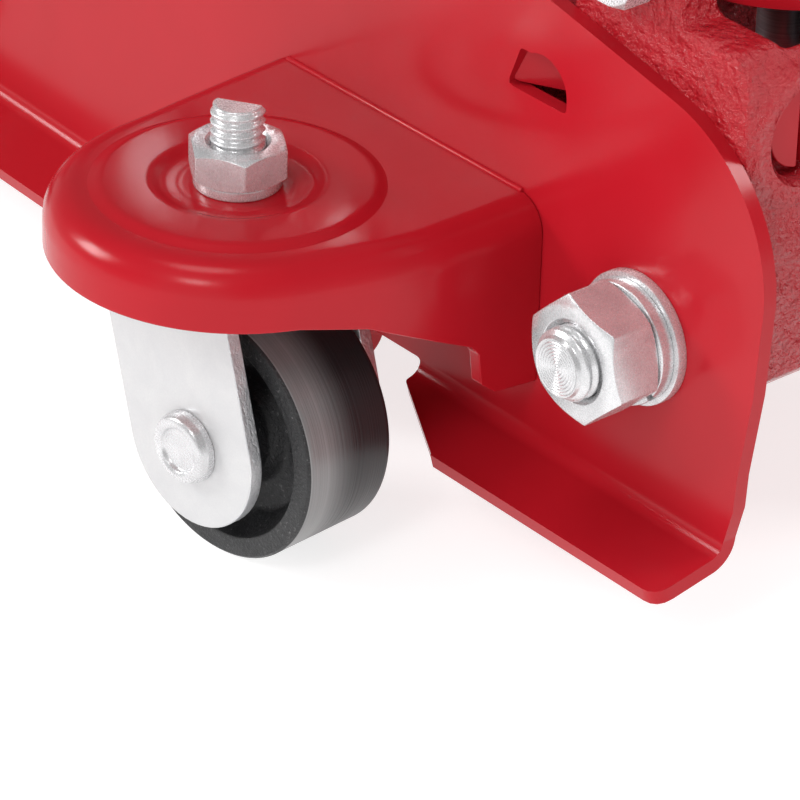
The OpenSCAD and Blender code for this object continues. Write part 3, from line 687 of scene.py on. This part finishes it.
def bracket():
    nose = arc(0, STEM_REACH, NOSE_R, 160, 4, 40)
    rear = [(-WALL_X, y) for y in (0, 6, 10, 13.6, 14.4, 16.2, 20, 25.7)]
    rear += soft([(-WALL_X, 26), (-38.2, 36), nose[0]], 60, 8)[1:-1]
    outline = rear + nose + [(36.2, STEM_REACH - 6), (37, 28), (38.4, 14), (WALL_X - 0.3, 0)]
    bm = flat_face(outline)
    made = bmesh.ops.extrude_face_region(bm, geom=bm.faces[:])
    foot = [g for g in made["geom"] if isinstance(g, bmesh.types.BMVert)]
    bmesh.ops.translate(bm, vec=(0, 0, -30), verts=foot)
    for vert in bm.verts:
        vert.co.z = BRACKET_Z if vert.co.z > -1 else wall_foot(vert.co.x, vert.co.y)
    open_faces = [f for f in bm.faces if all(v.co.y < 0.01 for v in f.verts)]
    open_faces += [f for f in bm.faces if all(v.co.z < BRACKET_Z - 1 for v in f.verts)]
    bmesh.ops.delete(bm, geom=open_faces, context="FACES")
    top = next(f for f in bm.faces if all(v.co.z > BRACKET_Z - 0.01 for v in f.verts))
    rim = [e for e in top.edges if not all(v.co.y < 0.01 for v in e.verts)]
    bmesh.ops.bevel(
        bm, geom=rim, offset=FOLD_R, offset_type="OFFSET", segments=7, profile=0.5,
        affect="EDGES", material=-1, clamp_overlap=False,
    )
    bmesh.ops.remove_doubles(bm, verts=bm.verts[:], dist=1e-3)
    flat = [f for f in bm.faces if all(v.co.z > BRACKET_Z - 0.01 for v in f.verts)]
    top = max(flat, key=lambda f: f.calc_area())
    border = top.edges[:]
    bmesh.ops.delete(bm, geom=[top], context="FACES_ONLY")
    before = set(bm.edges)
    bmesh.ops.create_circle(
        bm, cap_ends=False, segments=96, radius=RING_R,
        matrix=Matrix.Translation((0, STEM_REACH, BRACKET_Z)),
    )
    circle = [e for e in bm.edges if e not in before]
    bmesh.ops.triangle_fill(bm, use_beauty=True, use_dissolve=False, edges=border + circle)
    rings = [(27.4, 0.04), (26.8, 0.22), (26.1, 0.55), (25.3, 0.85), (24.4, 0.98), (21, 1.0)]
    rings += [(17.2, 1.0), (16.4, 0.94), (15.5, 0.7), (14.6, 0.32), (13.8, 0.06), (13.0, 0)]
    rings += [(11.9, 0.0), (11.5, 0.05), (11.1, 0), (10.4, 0), (10.1, 0.04), (9.8, 0), (5.2, 0)]
    edges = circle
    for r, rise in rings:
        made = bmesh.ops.extrude_edge_only(bm, edges=edges)["geom"]
        edges = [g for g in made if isinstance(g, bmesh.types.BMEdge)]
        for vert in [g for g in made if isinstance(g, bmesh.types.BMVert)]:
            out = Vector((vert.co.x, vert.co.y - STEM_REACH)).normalized() * r
            vert.co = (out.x, STEM_REACH + out.y, BRACKET_Z + rise)
    bmesh.ops.recalc_face_normals(bm, faces=bm.faces[:])
    if sum(f.normal.z * f.calc_area() for f in bm.faces) < 0:
        bmesh.ops.reverse_faces(bm, faces=bm.faces[:])
    bmesh.ops.translate(bm, vec=(STEM.x, HALF_W, 0), verts=bm.verts[:])
    return bm


# ---------------------------------------------------------------- casters

def caster_place(bm, z=0.0, trail=0.0):
    """Puts a piece drawn about its own stem where the left caster stands."""
    turn = Matrix.Rotation(CASTER_TURN, 4, "Z")
    bm.transform(Matrix.Translation((STEM.x, STEM.y, z)) @ turn @ Matrix.Translation((-trail, 0, 0)))
    return bm


TRAIL = 6.0
FORK_HALF = 17.0
FORK_T = 3.0
FORK_TOP = 61.0
FORK_BEND = 3.0
LEG_R = 16.4
LEG_LEAN = radians(15.4)
WHEEL_HALF = 10.5
GROOVE_PITCH = 0.3
GROOVE_DEPTH = 0.025
STEM_R = 5.15
STEM_PITCH = 1.8
STEM_FLAT_OUT = 0.5
STEM_FLAT_LONG = 7
STEM_FLAT_TURN = radians(32)


def fork():
    """One strip bent twice: a bridge under the stem and two legs that hold the wheel."""
    line = FORK_HALF - FORK_T - FORK_BEND
    inside = FORK_TOP - FORK_T
    level = line + FORK_BEND * pi / 2 + inside - FORK_BEND
    lean = degrees(LEG_LEAN)
    foot = arc(-TRAIL, level - WHEEL.z, LEG_R, lean, 180 + lean, 28)
    rise = (level - WHEEL.z - line + 3) / cos(LEG_LEAN)
    up = Vector((sin(LEG_LEAN), -cos(LEG_LEAN))) * rise
    front = Vector(foot[0]) + up
    rear = Vector(foot[-1]) + up
    half = [(front.x - 2, line - 7), tuple(front)] + foot + [tuple(rear), (rear.x + 2, line - 7)]
    half = soft(half, [0, 5] + [0] * len(foot) + [5, 0], 4)
    other = [(x, -y) for x, y in reversed(half)]
    bm = thicken(flat_face(half + other), FORK_T)
    for face in bm.faces:
        face.material_index = 0 if abs(face.normal.z) > 0.5 else 1
    bmesh.ops.translate(bm, vec=(0, 0, inside), verts=bm.verts[:])
    bend(bm, (0, line, inside), Y, -Z, FORK_BEND, pi / 2)
    bend(bm, (0, -line, inside), -Y, -Z, FORK_BEND, pi / 2)
    return caster_place(bm)


def wheel():
    r = WHEEL.z
    w = WHEEL_HALF
    half = [(9, 13.4), (9.6, w - 4.5), (12, w - 7.5), (r - 7.4, w - 7.5)]
    half += [(r - 5.4, w - 3), (r - 4.2, w), (r - 0.5, w), (r, w - 0.6)]
    side = soft([(4.1, 13.4)] + half, [0, 0.5, 1.5, 2, 2, 1.5, 0.5, 0.3, 0.5], 4)
    count = int((2 * w - 2) / GROOVE_PITCH)
    lines = [(r - GROOVE_DEPTH * (i % 2), w - 1 - i * GROOVE_PITCH) for i in range(1, count)]
    profile = side + lines + [(x, -h) for x, h in reversed(side)]
    bm = turned(profile, 128, closed=True)
    for face in bm.faces:
        out = hypot(face.calc_center_median().x, face.calc_center_median().y)
        face.material_index = 2 if out > r - 0.2 else (1 if out > r - 4.6 else 0)
    place(bm, (0, 0, 0), Y)
    return caster_place(bm, r, TRAIL)


def rivet():
    """A pin with a round head and a sunk middle at each end."""
    reach = FORK_HALF
    head = [(4, reach), (7, reach), (7, reach + 1.6), (6.4, reach + 3.1), (5.2, reach + 3.5)]
    head += [(4.5, reach + 3.1), (4.1, reach + 2.4), (0, reach + 2.25)]
    side = soft([(4, 0)] + head, [0, 0, 0.4, 1, 1.2, 0.6, 0.4, 0.4, 0], 4)
    bm = turned([(x, -h) for x, h in reversed(side)] + side[1:], 72)
    place(bm, (0, 0, 0), Y)
    return caster_place(bm, WHEEL.z, TRAIL)


def caster_stem():
    """Stem riveted under the fork's bridge, threaded above the bracket, with a flat on its end."""
    end = span("caster_stem_left")[1].z
    face = soft([(4.1, end), (2, end), (0, end)], 0.3, 2)
    bm = screw_end(STEM_R, 55, BRACKET_Z, end, STEM_PITCH, 0.8, 0.9, face)
    away = Vector((sin(STEM_FLAT_TURN), -cos(STEM_FLAT_TURN), 0))
    for vert in bm.verts:
        out = vert.co.dot(away)
        if vert.co.z > end - STEM_FLAT_LONG and out > STEM_FLAT_OUT:
            vert.co -= away * (out - STEM_FLAT_OUT)
    profile = soft([(4.9, 54.2), (8.6, 54.2), (9, 55.4), (8.4, 57.6), (4.9, 57.9)], 0.6, 3, closed=True)
    return place(joined(bm, turned(profile, 64, closed=True)), (STEM.x, STEM.y, 0))


def race():
    low, high = span("ball_race_left")
    cup = [(5.1, low.z), (13.4, low.z), (15, low.z + 1.2), (15, high.z - 3.4)]
    cup += [(18, high.z - 2.6), (18, high.z), (5.1, high.z)]
    return place(turned(soft(cup, [0, 0.6, 0.8, 1, 0.6, 0.3, 0], 3), 96, closed=True), (STEM.x, STEM.y, 0))


# ---------------------------------------------------------------- making the visible corner

def pair(build, name, body, looks, node, **options):
    """Finishes a piece on the left and its mirror image on the right."""
    left = build()
    finished(left, name + "_left", body.replace("*", "left"), looks, node.replace("*", "left"), **options)
    right = flipped(build())
    finished(right, name + "_right", body.replace("*", "right"), looks, node.replace("*", "right"), **options)


def one_node(build, name, body, looks, node, **options):
    """Finishes a piece that stands on both sides as one object."""
    finished(flipped(build(), also=True), name, body, looks, node, **options)


pair(side_plate, "frame_plate", "chassis", gloss_red, "side_plate_*", bevel=0.9, slot="red_paint")
pair(
    bracket, "bracket", "chassis", gloss_red, "caster_bracket_*",
    bevel=0.4, wall=PLATE_T, smooth=60, slot="red_paint",
)


def seam():
    """The bead of paint-covered weld where a bracket's top meets its plate."""
    half = WALL_X - 6
    bead = turned(soft([(0, -half), (0.6, -half), (0.6, half), (0, half)], 0.5, 3), 24)
    return place(bead, (STEM.x, HALF_W + 0.2, BRACKET_Z), X)


for side, build_side in (("left", seam), ("right", lambda: flipped(seam()))):
    finished(build_side(), "bracket_seam_" + side, "chassis", gloss_red, smooth=50)

pair(fork, "caster_fork", "caster_*", [sheet_zinc, cut_zinc], "fork_*", bevel=0.25, slot="zinc_sheet")
pair(
    wheel, "wheel", "wheel_*", [black_cast, rim_black, tread_black], "caster_wheel_*",
    smooth=50, slot="black_wheel",
)
pair(rivet, "wheel_rivet", "caster_*", bright_zinc, "axle_rivet_*", slot="zinc")
pair(caster_stem, "stem", "chassis", bright_zinc, "caster_stem_*", smooth=50, slot="zinc")
pair(race, "race", "chassis", bar_steel, "ball_race_*", slot="steel")

NUT10_ACROSS = 17
NUT10_LOW = span("stem_nuts")[0].z
NUT10_HIGH = span("stem_nuts")[1].z
one_node(
    lambda: place(
        hex_nut(NUT10_ACROSS, NUT10_HIGH - NUT10_LOW, STEM_R), (STEM.x, STEM.y, NUT10_LOW), Z, radians(-1)
    ),
    "stem_nut", "chassis", bright_zinc, "stem_nuts", bevel=0.15, slot="zinc",
)
one_node(
    lambda: place(spring_washer(5.1, 8.2, NUT10_LOW - BRACKET_Z), (STEM.x, STEM.y, BRACKET_Z), Z, radians(8)),
    "stem_washer", "chassis", bright_zinc, "stem_spring_washers", slot="zinc",
)


# ---------------------------------------------------------------- power unit

NUT14_ACROSS = 22
STUD_R = 7.0
STUD_PITCH = 2.0


def stud():
    """A threaded stud with a rounded shoulder and a finely turned end."""
    end = span("power_unit_studs")[1].y
    count = 66
    rings = [(5.3 * (1 - i / count), end - 0.1 * (1 - cos(2 * pi * 8.5 * i / count))) for i in range(count)]
    profile = [(0, INNER - 17), (STUD_R, INNER - 17)]
    profile += [(STUD_R, HALF_W + (end - 2.2 - HALF_W) * i / 90) for i in range(91)]
    profile += soft([(STUD_R, end - 2.2), (6.9, end - 1.5), (5.9, end - 0.9), (5.55, end)], 0.6, 4)[1:]
    bm = turned(profile + rings + [(0, end)], 96)
    cut_thread(bm, STUD_R, STUD_PITCH, HALF_W, 0.62)
    return place(bm, (STUD.x, 0, STUD.z), Y)


def stud_nut():
    low = span("stud_spring_washers")[1].y
    high = span("stud_nuts")[1].y
    return place(hex_nut(NUT14_ACROSS, high - low, STUD_R, 1.1), (STUD.x, low, STUD.z), Y, radians(13))


def stud_spring():
    low = span("stud_flat_washers")[1].y
    high = span("stud_spring_washers")[1].y
    return place(spring_washer(7.1, 11.8, high - low), (STUD.x, low, STUD.z), Y, radians(140))


def stud_washer():
    high = span("stud_flat_washers")[1].y
    ring = soft([(7.1, 0), (12.8, 0), (12.8, high - HALF_W), (7.1, high - HALF_W)], 0.3, 2, closed=True)
    return place(turned(ring, 96, closed=True), (STUD.x, HALF_W, STUD.z), Y)


one_node(stud, "stud", "chassis", bright_zinc, "power_unit_studs", smooth=50, slot="zinc")
one_node(stud_nut, "stud_nut", "chassis", bright_zinc, "stud_nuts", bevel=0.15, slot="zinc")
one_node(stud_spring, "stud_spring", "chassis", bright_zinc, "stud_spring_washers", slot="zinc")
one_node(stud_washer, "stud_washer", "chassis", bright_zinc, "stud_flat_washers", slot="zinc")


# ---------------------------------------------------------------- the rest of the jack

def cad_copy(node):
    """A node's own mesh in millimetres, merged so that its edges can be softened."""
    bm = bmesh.new()
    bm.from_mesh(nodes[node].data)
    bm.transform(Matrix.Scale(1 / MM, 4))
    bmesh.ops.remove_doubles(bm, verts=bm.verts[:], dist=1e-3)
    bmesh.ops.dissolve_limit(bm, angle_limit=radians(0.6), verts=bm.verts[:], edges=bm.edges[:])
    return bm


def across_jack(drawing, half):
    """A solid drawn in X and Z and as wide as half on both sides of the middle."""
    bm = thicken(flat_face(drawing), 2 * half)
    bm.transform(Matrix.Translation((0, half, 0)) @ Matrix.Rotation(pi / 2, 4, "X"))
    return bm


def casting_copy():
    """The casting's own mesh with a wall round the pump's trough and a hollow behind the left pocket."""
    low = span("power_unit_casting")[0]
    hinge_z = middle("socket_bolts").z
    rear = low.x + 1
    top = hinge_z - 11
    front = HINGE_X - 4
    foot = 90
    wall = [(rear, foot), (rear, top - 5), (rear + 4, top), (front, top), (front, foot)]
    wall = across_jack(wall, INNER)
    half = 28.6
    swing = turned([(0, 0), (30.4, 0), (30.4, 2 * half), (0, 2 * half)], 96)
    wall = carved(wall, place(swing, (HINGE_X, -half, hinge_z), Y))
    pump = middle("pump_plunger")
    wall = carved(wall, place(turned([(0, 80), (10.8, 80), (10.8, 130), (0, 130)], 48), (pump.x, 0, 0)))
    hollow = turned([(0, 0), (POCKET_R + 1, 0), (POCKET_R + 1, 14), (0, 14)], 32)
    hollow = place(hollow, (POCKET.x, INNER - 12, POCKET.z + 4), Y)
    return carved(joined(cad_copy("power_unit_casting"), wall), hollow)


def plug_seat():
    """The bore that the valve plug sinks into, with a small chamfer at its mouth."""
    plug = middle("valve_plug")
    face = span("power_unit_casting")[0].x
    profile = [(0, -2), (10.2, -2), (10.2, 0.2), (9.3, 1.2), (9.3, 6), (0, 6)]
    return place(turned(profile, 64), (face, plug.y, plug.z), X)


def cast_copy(shape, grain=1.0, rounds=6):
    """A shape with the rounded corners of a casting."""
    body = loose_object(shape)
    step = body.modifiers.new("skin", "REMESH")
    step.mode = "VOXEL"
    step.voxel_size = grain
    step = body.modifiers.new("soften", "SMOOTH")
    step.factor = 0.5
    step.iterations = rounds
    return settled(body)


def coil(radius, wire, length, turns, steps=18):
    """A helical spring about Z."""
    bm = bmesh.new()
    bmesh.ops.create_circle(
        bm, segments=8, radius=wire,
        matrix=Matrix.Translation((radius, 0, wire)) @ Matrix.Rotation(pi / 2, 4, "X"),
    )
    climb = length - 2 * wire
    bmesh.ops.spin(
        bm, geom=bm.verts[:] + bm.edges[:], cent=(0, 0, 0), axis=(0, 0, 1),
        dvec=(0, 0, climb / (turns * steps)), angle=2 * pi * turns, steps=turns * steps, use_merge=False,
    )
    bmesh.ops.holes_fill(bm, edges=[e for e in bm.edges if e.is_boundary], sides=0)
    bmesh.ops.recalc_face_normals(bm, faces=bm.faces[:])
    return bm


def refined(node, look, bevel, name, slot, smooth=40, shift=0.0):
    piece_body = nodes[node]["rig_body"]
    bm = cad_copy(node)
    bmesh.ops.translate(bm, vec=(shift, 0, 0), verts=bm.verts[:])
    return finished(bm, name, piece_body, look, node, bevel=bevel, smooth=smooth, slot=slot)


REFINED = [
    ("valve_plug", gloss_red, 0.4, "slotted_plug", "red_plug", 40, 1.8),
    ("filler_plug", black_plastic, 0.5, "filler_cap", "black_plastic"),
    ("reservoir_tube", gloss_red, 0.8, "reservoir", "red_paint"),
    ("cylinder_end_nut", gloss_red, 0.7, "gland_nut", "red_paint"),
    ("ram", ground_steel, 0.4, "ram_rod", "ground_steel"),
    ("ram_head", bar_steel, 0.8, "ram_eye", "steel"),
    ("release_valve", rod_steel, 0.3, "valve_spindle", "steel"),
    ("valve_cup", bar_steel, 0.4, "valve_socket", "steel"),
    ("pump_plunger", rod_steel, 0.4, "plunger_rod", "ground_steel"),
    ("handle_socket", gloss_red, 0.9, "socket_casting", "red_paint"),
    ("socket_bolts", bright_zinc, 0.4, "hinge_bolts", "zinc"),
    ("pump_roller", bar_steel, 0.4, "roller_ring", "steel"),
    ("roller_pin", pin_steel, 0.3, "roller_axle", "steel"),
    ("handle_lower", tube_red, 0.3, "lower_tube", "red_tube"),
    ("handle_upper", tube_red, 0.3, "upper_tube", "red_tube"),
    ("snap_button", bar_steel, 0.9, "button", "steel"),
    ("lift_arm", gloss_red, 0.9, "arm_weldment", "red_paint"),
    ("arm_shaft", pin_steel, 0.7, "pivot_shaft", "steel"),
    ("shaft_clips", spring_steel, 0.25, "pivot_clips", "spring_steel"),
    ("cross_pin", pin_steel, 0.6, "crank_pin", "steel"),
    ("saddle_pin", pin_steel, 0.6, "front_pin", "steel"),
    ("saddle_bracket", cast_red, 0.8, "saddle_yoke", "red_paint"),
    ("saddle_clip", spring_steel, 0.25, "post_clip", "spring_steel"),
    ("rod_left", bar_steel, 0.5, "level_rod_left", "steel"),
    ("rod_right", bar_steel, 0.5, "level_rod_right", "steel"),
    ("rod_rear_pins", pin_steel, 0.4, "rod_pins", "steel"),
    ("rod_front_pin", pin_steel, 0.4, "rod_cross_pin", "steel"),
    ("front_axle", pin_steel, 0.6, "axle_bar", "steel"),
    ("axle_nuts", bright_zinc, 0.4, "axle_end_nuts", "zinc"),
    ("tie_rods", bar_steel, 0.5, "tie_bars", "steel"),
    ("tie_rod_nuts", bright_zinc, 0.4, "tie_bar_nuts", "zinc"),
    ("cover_plate", gloss_red, 0.5, "top_cover", "red_paint"),
    ("cover_screws", bright_zinc, 0.5, "cover_bolts", "zinc"),
]
for row in REFINED:
    refined(*row)

finished(
    carved(cast_copy(casting_copy(), 0.9, 6), plug_seat()),
    "unit_casting", "chassis", cast_red, "power_unit_casting", smooth=70, slot="red_casting",
)
finished(
    cast_copy(cad_copy("saddle"), 0.8, 4),
    "saddle_cup", "saddle_cup", black_iron, "saddle", smooth=70, slot="black_iron",
)


def front_roller():
    r = AXLE.z
    low, high = span("front_roller_left")
    wide = high.y - low.y
    half = [(8.1, 0), (14, 0), (15.5, 3), (r - 7, 3), (r - 5, 0), (r - 1.6, 0), (r, 1.6)]
    back = [(r, wide - 1.6), (r - 1.6, wide), (r - 5, wide), (r - 7, wide - 6)]
    back += [(15.5, wide - 6), (14, wide), (8.1, wide)]
    rounding = [0, 0.5, 1, 1, 1, 0.6, 1]
    bm = turned(soft(half + back, rounding + rounding[::-1], 4, closed=True), 128, closed=True)
    return place(bm, (AXLE.x, low.y, r), Y)


pair(
    front_roller, "front_roller_tread", "front_wheel_*", tread_black, "front_roller_*",
    smooth=50, slot="black_wheel",
)


def hand_grip():
    """Rubber sleeve with shallow finger rings and a domed end."""
    low, high = span("grip")
    r = (high.x - low.x) / 2
    rings = 22
    start, stop = low.z + 8, high.z - 14
    pitch = (stop - start) / rings
    tube = span("handle_upper")[1]
    bore = tube.x - HINGE_X
    side = [(0, tube.z), (bore, tube.z), (bore, low.z), (r - 0.5, low.z), (r, low.z + 1.5), (r, start)]
    for i in range(rings):
        z = start + i * pitch
        side += [(r, z + 0.45 * pitch), (r - 0.8, z + 0.6 * pitch)]
        side += [(r - 0.8, z + 0.85 * pitch), (r, z + pitch)]
    side += [(r, high.z - 4), (r - 1.4, high.z - 0.8), (r - 4, high.z), (0, high.z)]
    return place(turned(soft(side, 0.35, 2), 72), (HINGE_X, 0, 0))


finished(hand_grip(), "hand_grip", "handle", grip_rubber, "grip", smooth=50, slot="rubber")

pump_low, pump_high = span("plunger_spring")
spring = coil((pump_high.x - pump_low.x) / 2 - 0.8, 0.8, pump_high.z - pump_low.z, 6)
place(spring, ((pump_low.x + pump_high.x) / 2, 0, pump_low.z))
spring_piece = finished(
    spring, "plunger_coil", "chassis", spring_steel, "plunger_spring", smooth=60, slot="spring_steel"
)
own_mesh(spring_piece)

back_low, back_high = span("return_springs")
wire_r = 0.6
coil_r = (back_high.z - back_low.z) / 2 - wire_r
pull = coil(coil_r, wire_r, back_high.x - back_low.x, 16)
place(pull, (back_low.x, back_high.y - coil_r - wire_r, (back_low.z + back_high.z) / 2), X)
finished(
    flipped(pull, also=True), "return_coils", "chassis", spring_steel, "return_springs",
    smooth=60, slot="spring_steel",
)


# ---------------------------------------------------------------- camera, light and floor

SENSOR = 36
FOCAL = 234
CAMERA_AT = Vector((-771.11, 609.31, 512.12))
SEEN_CORNER = (-0.1, 0.05, 0.06)


def set_camera():
    """A long lens above the jack's rear left corner, rolled a little."""
    yaw, pitch, roll = radians(-40.964), radians(-30.014), radians(1.8)
    ahead = Vector((cos(yaw) * cos(pitch), sin(yaw) * cos(pitch), sin(pitch)))
    right = Vector((sin(yaw), -cos(yaw), 0))
    above = right.cross(ahead)
    level = cos(roll) * right + sin(roll) * above
    upward = -sin(roll) * right + cos(roll) * above
    lens = bpy.data.cameras.new("camera")
    lens.sensor_width = SENSOR
    lens.lens = FOCAL
    lens.clip_start = 0.05
    lens.clip_end = 20
    made = bpy.data.objects.new("camera", lens)
    turn = Matrix((level, upward, -ahead)).transposed().to_4x4()
    made.matrix_world = Matrix.Translation(CAMERA_AT * MM) @ turn
    bpy.context.scene.collection.objects.link(made)
    bpy.context.scene.camera = made


def soft_light(name, at, aim, size, power):
    light = bpy.data.lights.new(name, "AREA")
    light.shape = "SQUARE"
    light.size = size
    light.energy = power
    made = bpy.data.objects.new(name, light)
    made.location = at
    made.rotation_mode = "QUATERNION"
    made.rotation_quaternion = (Vector(aim) - Vector(at)).to_track_quat("-Z", "Y")
    bpy.context.scene.collection.objects.link(made)
    return made


def set_stage():
    """A white floor, a grey sky that is bright low down, and soft panels of light."""
    material, tree, shader, place_on = new_finish("floor_white")
    shade = blended(tree, noise(tree, place_on, 300, 2), (0.92, 0.92, 0.92), (0.95, 0.95, 0.95))
    feed(tree, shader.inputs["Base Color"], (0.45, 0.45, 0.45, 1))
    feed(tree, shader.inputs["Emission Color"], shade)
    shader.inputs["Emission Strength"].default_value = 0.8
    shader.inputs["Specular IOR Level"].default_value = 0
    shader.inputs["Roughness"].default_value = 0.8
    bm = bmesh.new()
    bmesh.ops.create_grid(bm, x_segments=1, y_segments=1, size=8)
    mesh = bpy.data.meshes.new("floor")
    bm.to_mesh(mesh)
    bm.free()
    floor = bpy.data.objects.new("floor", mesh)
    floor.location.z = -0.0002
    mesh.materials.append(material)
    bpy.context.scene.collection.objects.link(floor)
    world = bpy.data.worlds.new("studio")
    world.use_nodes = True
    tree = world.node_tree
    sky = tree.nodes["Background"]
    aim = tree.nodes.new("ShaderNodeSeparateXYZ")
    feed(tree, aim.inputs[0], tree.nodes.new("ShaderNodeTexCoord").outputs["Generated"])
    height = between(tree, aim.outputs["Z"], 0.0, 0.35)
    feed(tree, sky.inputs["Color"], blended(tree, height, (1, 1, 1), (0.38, 0.38, 0.38)))
    sky.inputs["Strength"].default_value = 0.62
    bpy.context.scene.world = world
    soft_light("key", (-0.6, 1.2, 1.25), (-0.12, 0.06, 0.06), 0.35, 5)
    soft_light("top", (0.1, 0.3, 1.8), (-0.1, 0.05, 0.05), 0.5, 4)
    soft_light("side", (0.85, 0.95, 0.75), SEEN_CORNER, 0.45, 11)
    soft_light("back", (-0.85, -0.9, 1.1), SEEN_CORNER, 0.45, 9)
    fills = [
        ("fill_left", (-0.7, 1.5, 0.2), 14),
        ("fill_rear", (-1.8, 0.1, 0.4), 5),
        ("fill_high", (-0.4, 1.3, 1.6), 9),
    ]
    for name, at, power in fills:
        fill = soft_light(name, at, (-0.1, 0.05, 0.04), 1.4, power)
        fill.visible_glossy = False
    bpy.context.scene.view_settings.view_transform = "Standard"


set_camera()
set_stage()
